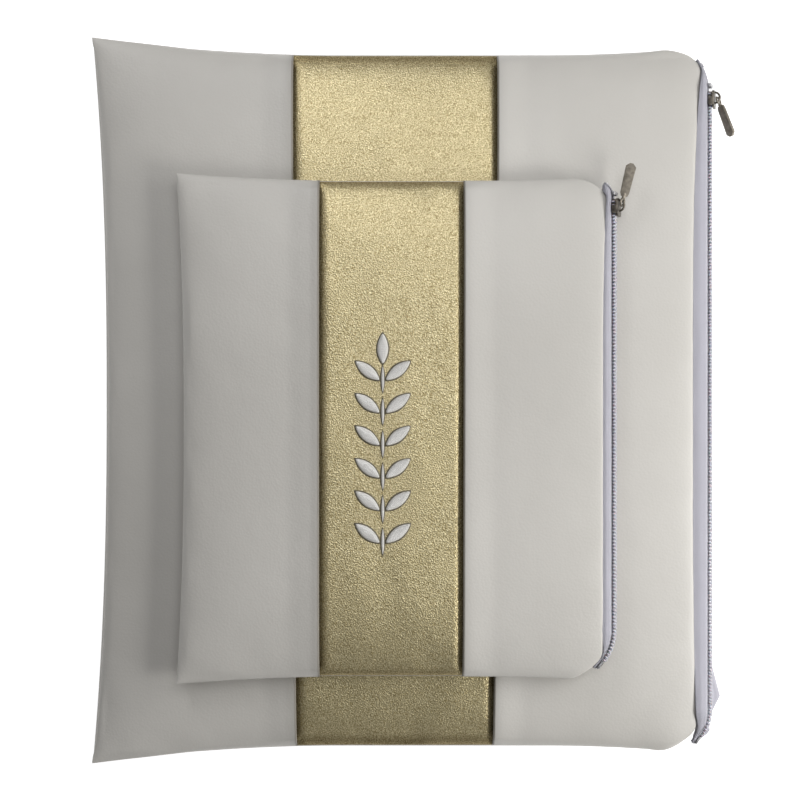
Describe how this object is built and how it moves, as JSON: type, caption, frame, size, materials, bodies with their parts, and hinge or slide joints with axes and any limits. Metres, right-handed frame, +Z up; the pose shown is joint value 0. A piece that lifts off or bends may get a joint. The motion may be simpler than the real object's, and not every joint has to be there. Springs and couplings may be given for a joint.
{
  "type": "zipped devotional pouch set",
  "caption": "Matched set of two flat padded pouches in white leathercloth with a gold centre band, each closed by a coil zip along one side; the small one lies on the large one.",
  "frame": {"origin": "on the surface that the set lies on, under the middle of the whole set's box", "axes": "+X towards the zipped mouths, +Y along the zips towards their closed ends, +Z up, away from the surface"},
  "size_m": [0.3264, 0.3692, 0.0393],
  "materials": {
    "white_leathercloth": "satin, fine grain",
    "gold_leathercloth": "metallic, pebble grain",
    "foam": "open cell foam",
    "lining_cloth": "woven satin",
    "zip_tape": "herringbone weave",
    "zip_coil": "moulded nylon",
    "dark_metal": "dark plated, worn",
    "stop_metal": "pressed",
    "sewing_thread": "twisted thread",
    "embroidery_thread": "satin stitch"
  },
  "bodies": {
    "large_pouch": {"large_left_panel": "white_leathercloth", "large_gold_band": "gold_leathercloth", "large_right_panel": "white_leathercloth", "large_back_panel": "white_leathercloth", "large_front_padding": "foam", "large_back_padding": "foam", "large_front_lining": "lining_cloth", "large_back_lining": "lining_cloth", "large_front_zip_tape": "zip_tape", "large_back_zip_tape": "zip_tape", "large_front_zip_coil": "zip_coil", "large_back_zip_coil": "zip_coil", "large_zip_top_stops": "stop_metal", "large_zip_bottom_stop": "stop_metal", "large_zip_end_tacks": "sewing_thread"},
    "large_slider": {"large_zip_slider": "dark_metal"},
    "large_tab": {"large_zip_pull": "dark_metal"},
    "small_pouch": {"small_left_panel": "white_leathercloth", "small_gold_band": "gold_leathercloth", "small_right_panel": "white_leathercloth", "small_back_panel": "white_leathercloth", "small_front_padding": "foam", "small_back_padding": "foam", "small_front_lining": "lining_cloth", "small_back_lining": "lining_cloth", "small_front_zip_tape": "zip_tape", "small_back_zip_tape": "zip_tape", "small_front_zip_coil": "zip_coil", "small_back_zip_coil": "zip_coil", "small_zip_top_stops": "stop_metal", "small_zip_bottom_stop": "stop_metal", "small_zip_end_tacks": "sewing_thread", "small_embroidery": "embroidery_thread"},
    "small_slider": {"small_zip_slider": "dark_metal"},
    "small_tab": {"small_zip_pull": "dark_metal"}
  },
  "joints": [
    {"name": "small_pouch_lift", "type": "slide", "parent": "large_pouch", "child": "small_pouch", "axis": [0, 0, 1], "range_m": [0, 0.12]},
    {"name": "large_zip", "type": "slide", "parent": "large_pouch", "child": "large_slider", "axis": [0, -1, 0], "range_m": [0, 0.304], "deforming": ["large_front_zip_coil", "large_back_zip_coil"]},
    {"name": "large_tab_pivot", "type": "hinge", "parent": "large_slider", "child": "large_tab", "pos_m": [0.15656, 0.154, 0.01211], "axis": [-0.596, -0.117, 0.7944], "range_deg": [-4, 150]},
    {"name": "small_zip", "type": "slide", "parent": "small_pouch", "child": "small_slider", "axis": [0, -1, 0], "range_m": [0, 0.204], "deforming": ["small_front_zip_coil", "small_back_zip_coil"]},
    {"name": "small_tab_pivot", "type": "hinge", "parent": "small_slider", "child": "small_tab", "pos_m": [0.1051, 0.0967, 0.03198], "axis": [-0.5664, 0.0626, 0.8218], "range_deg": [-130, 8]}
  ]
}
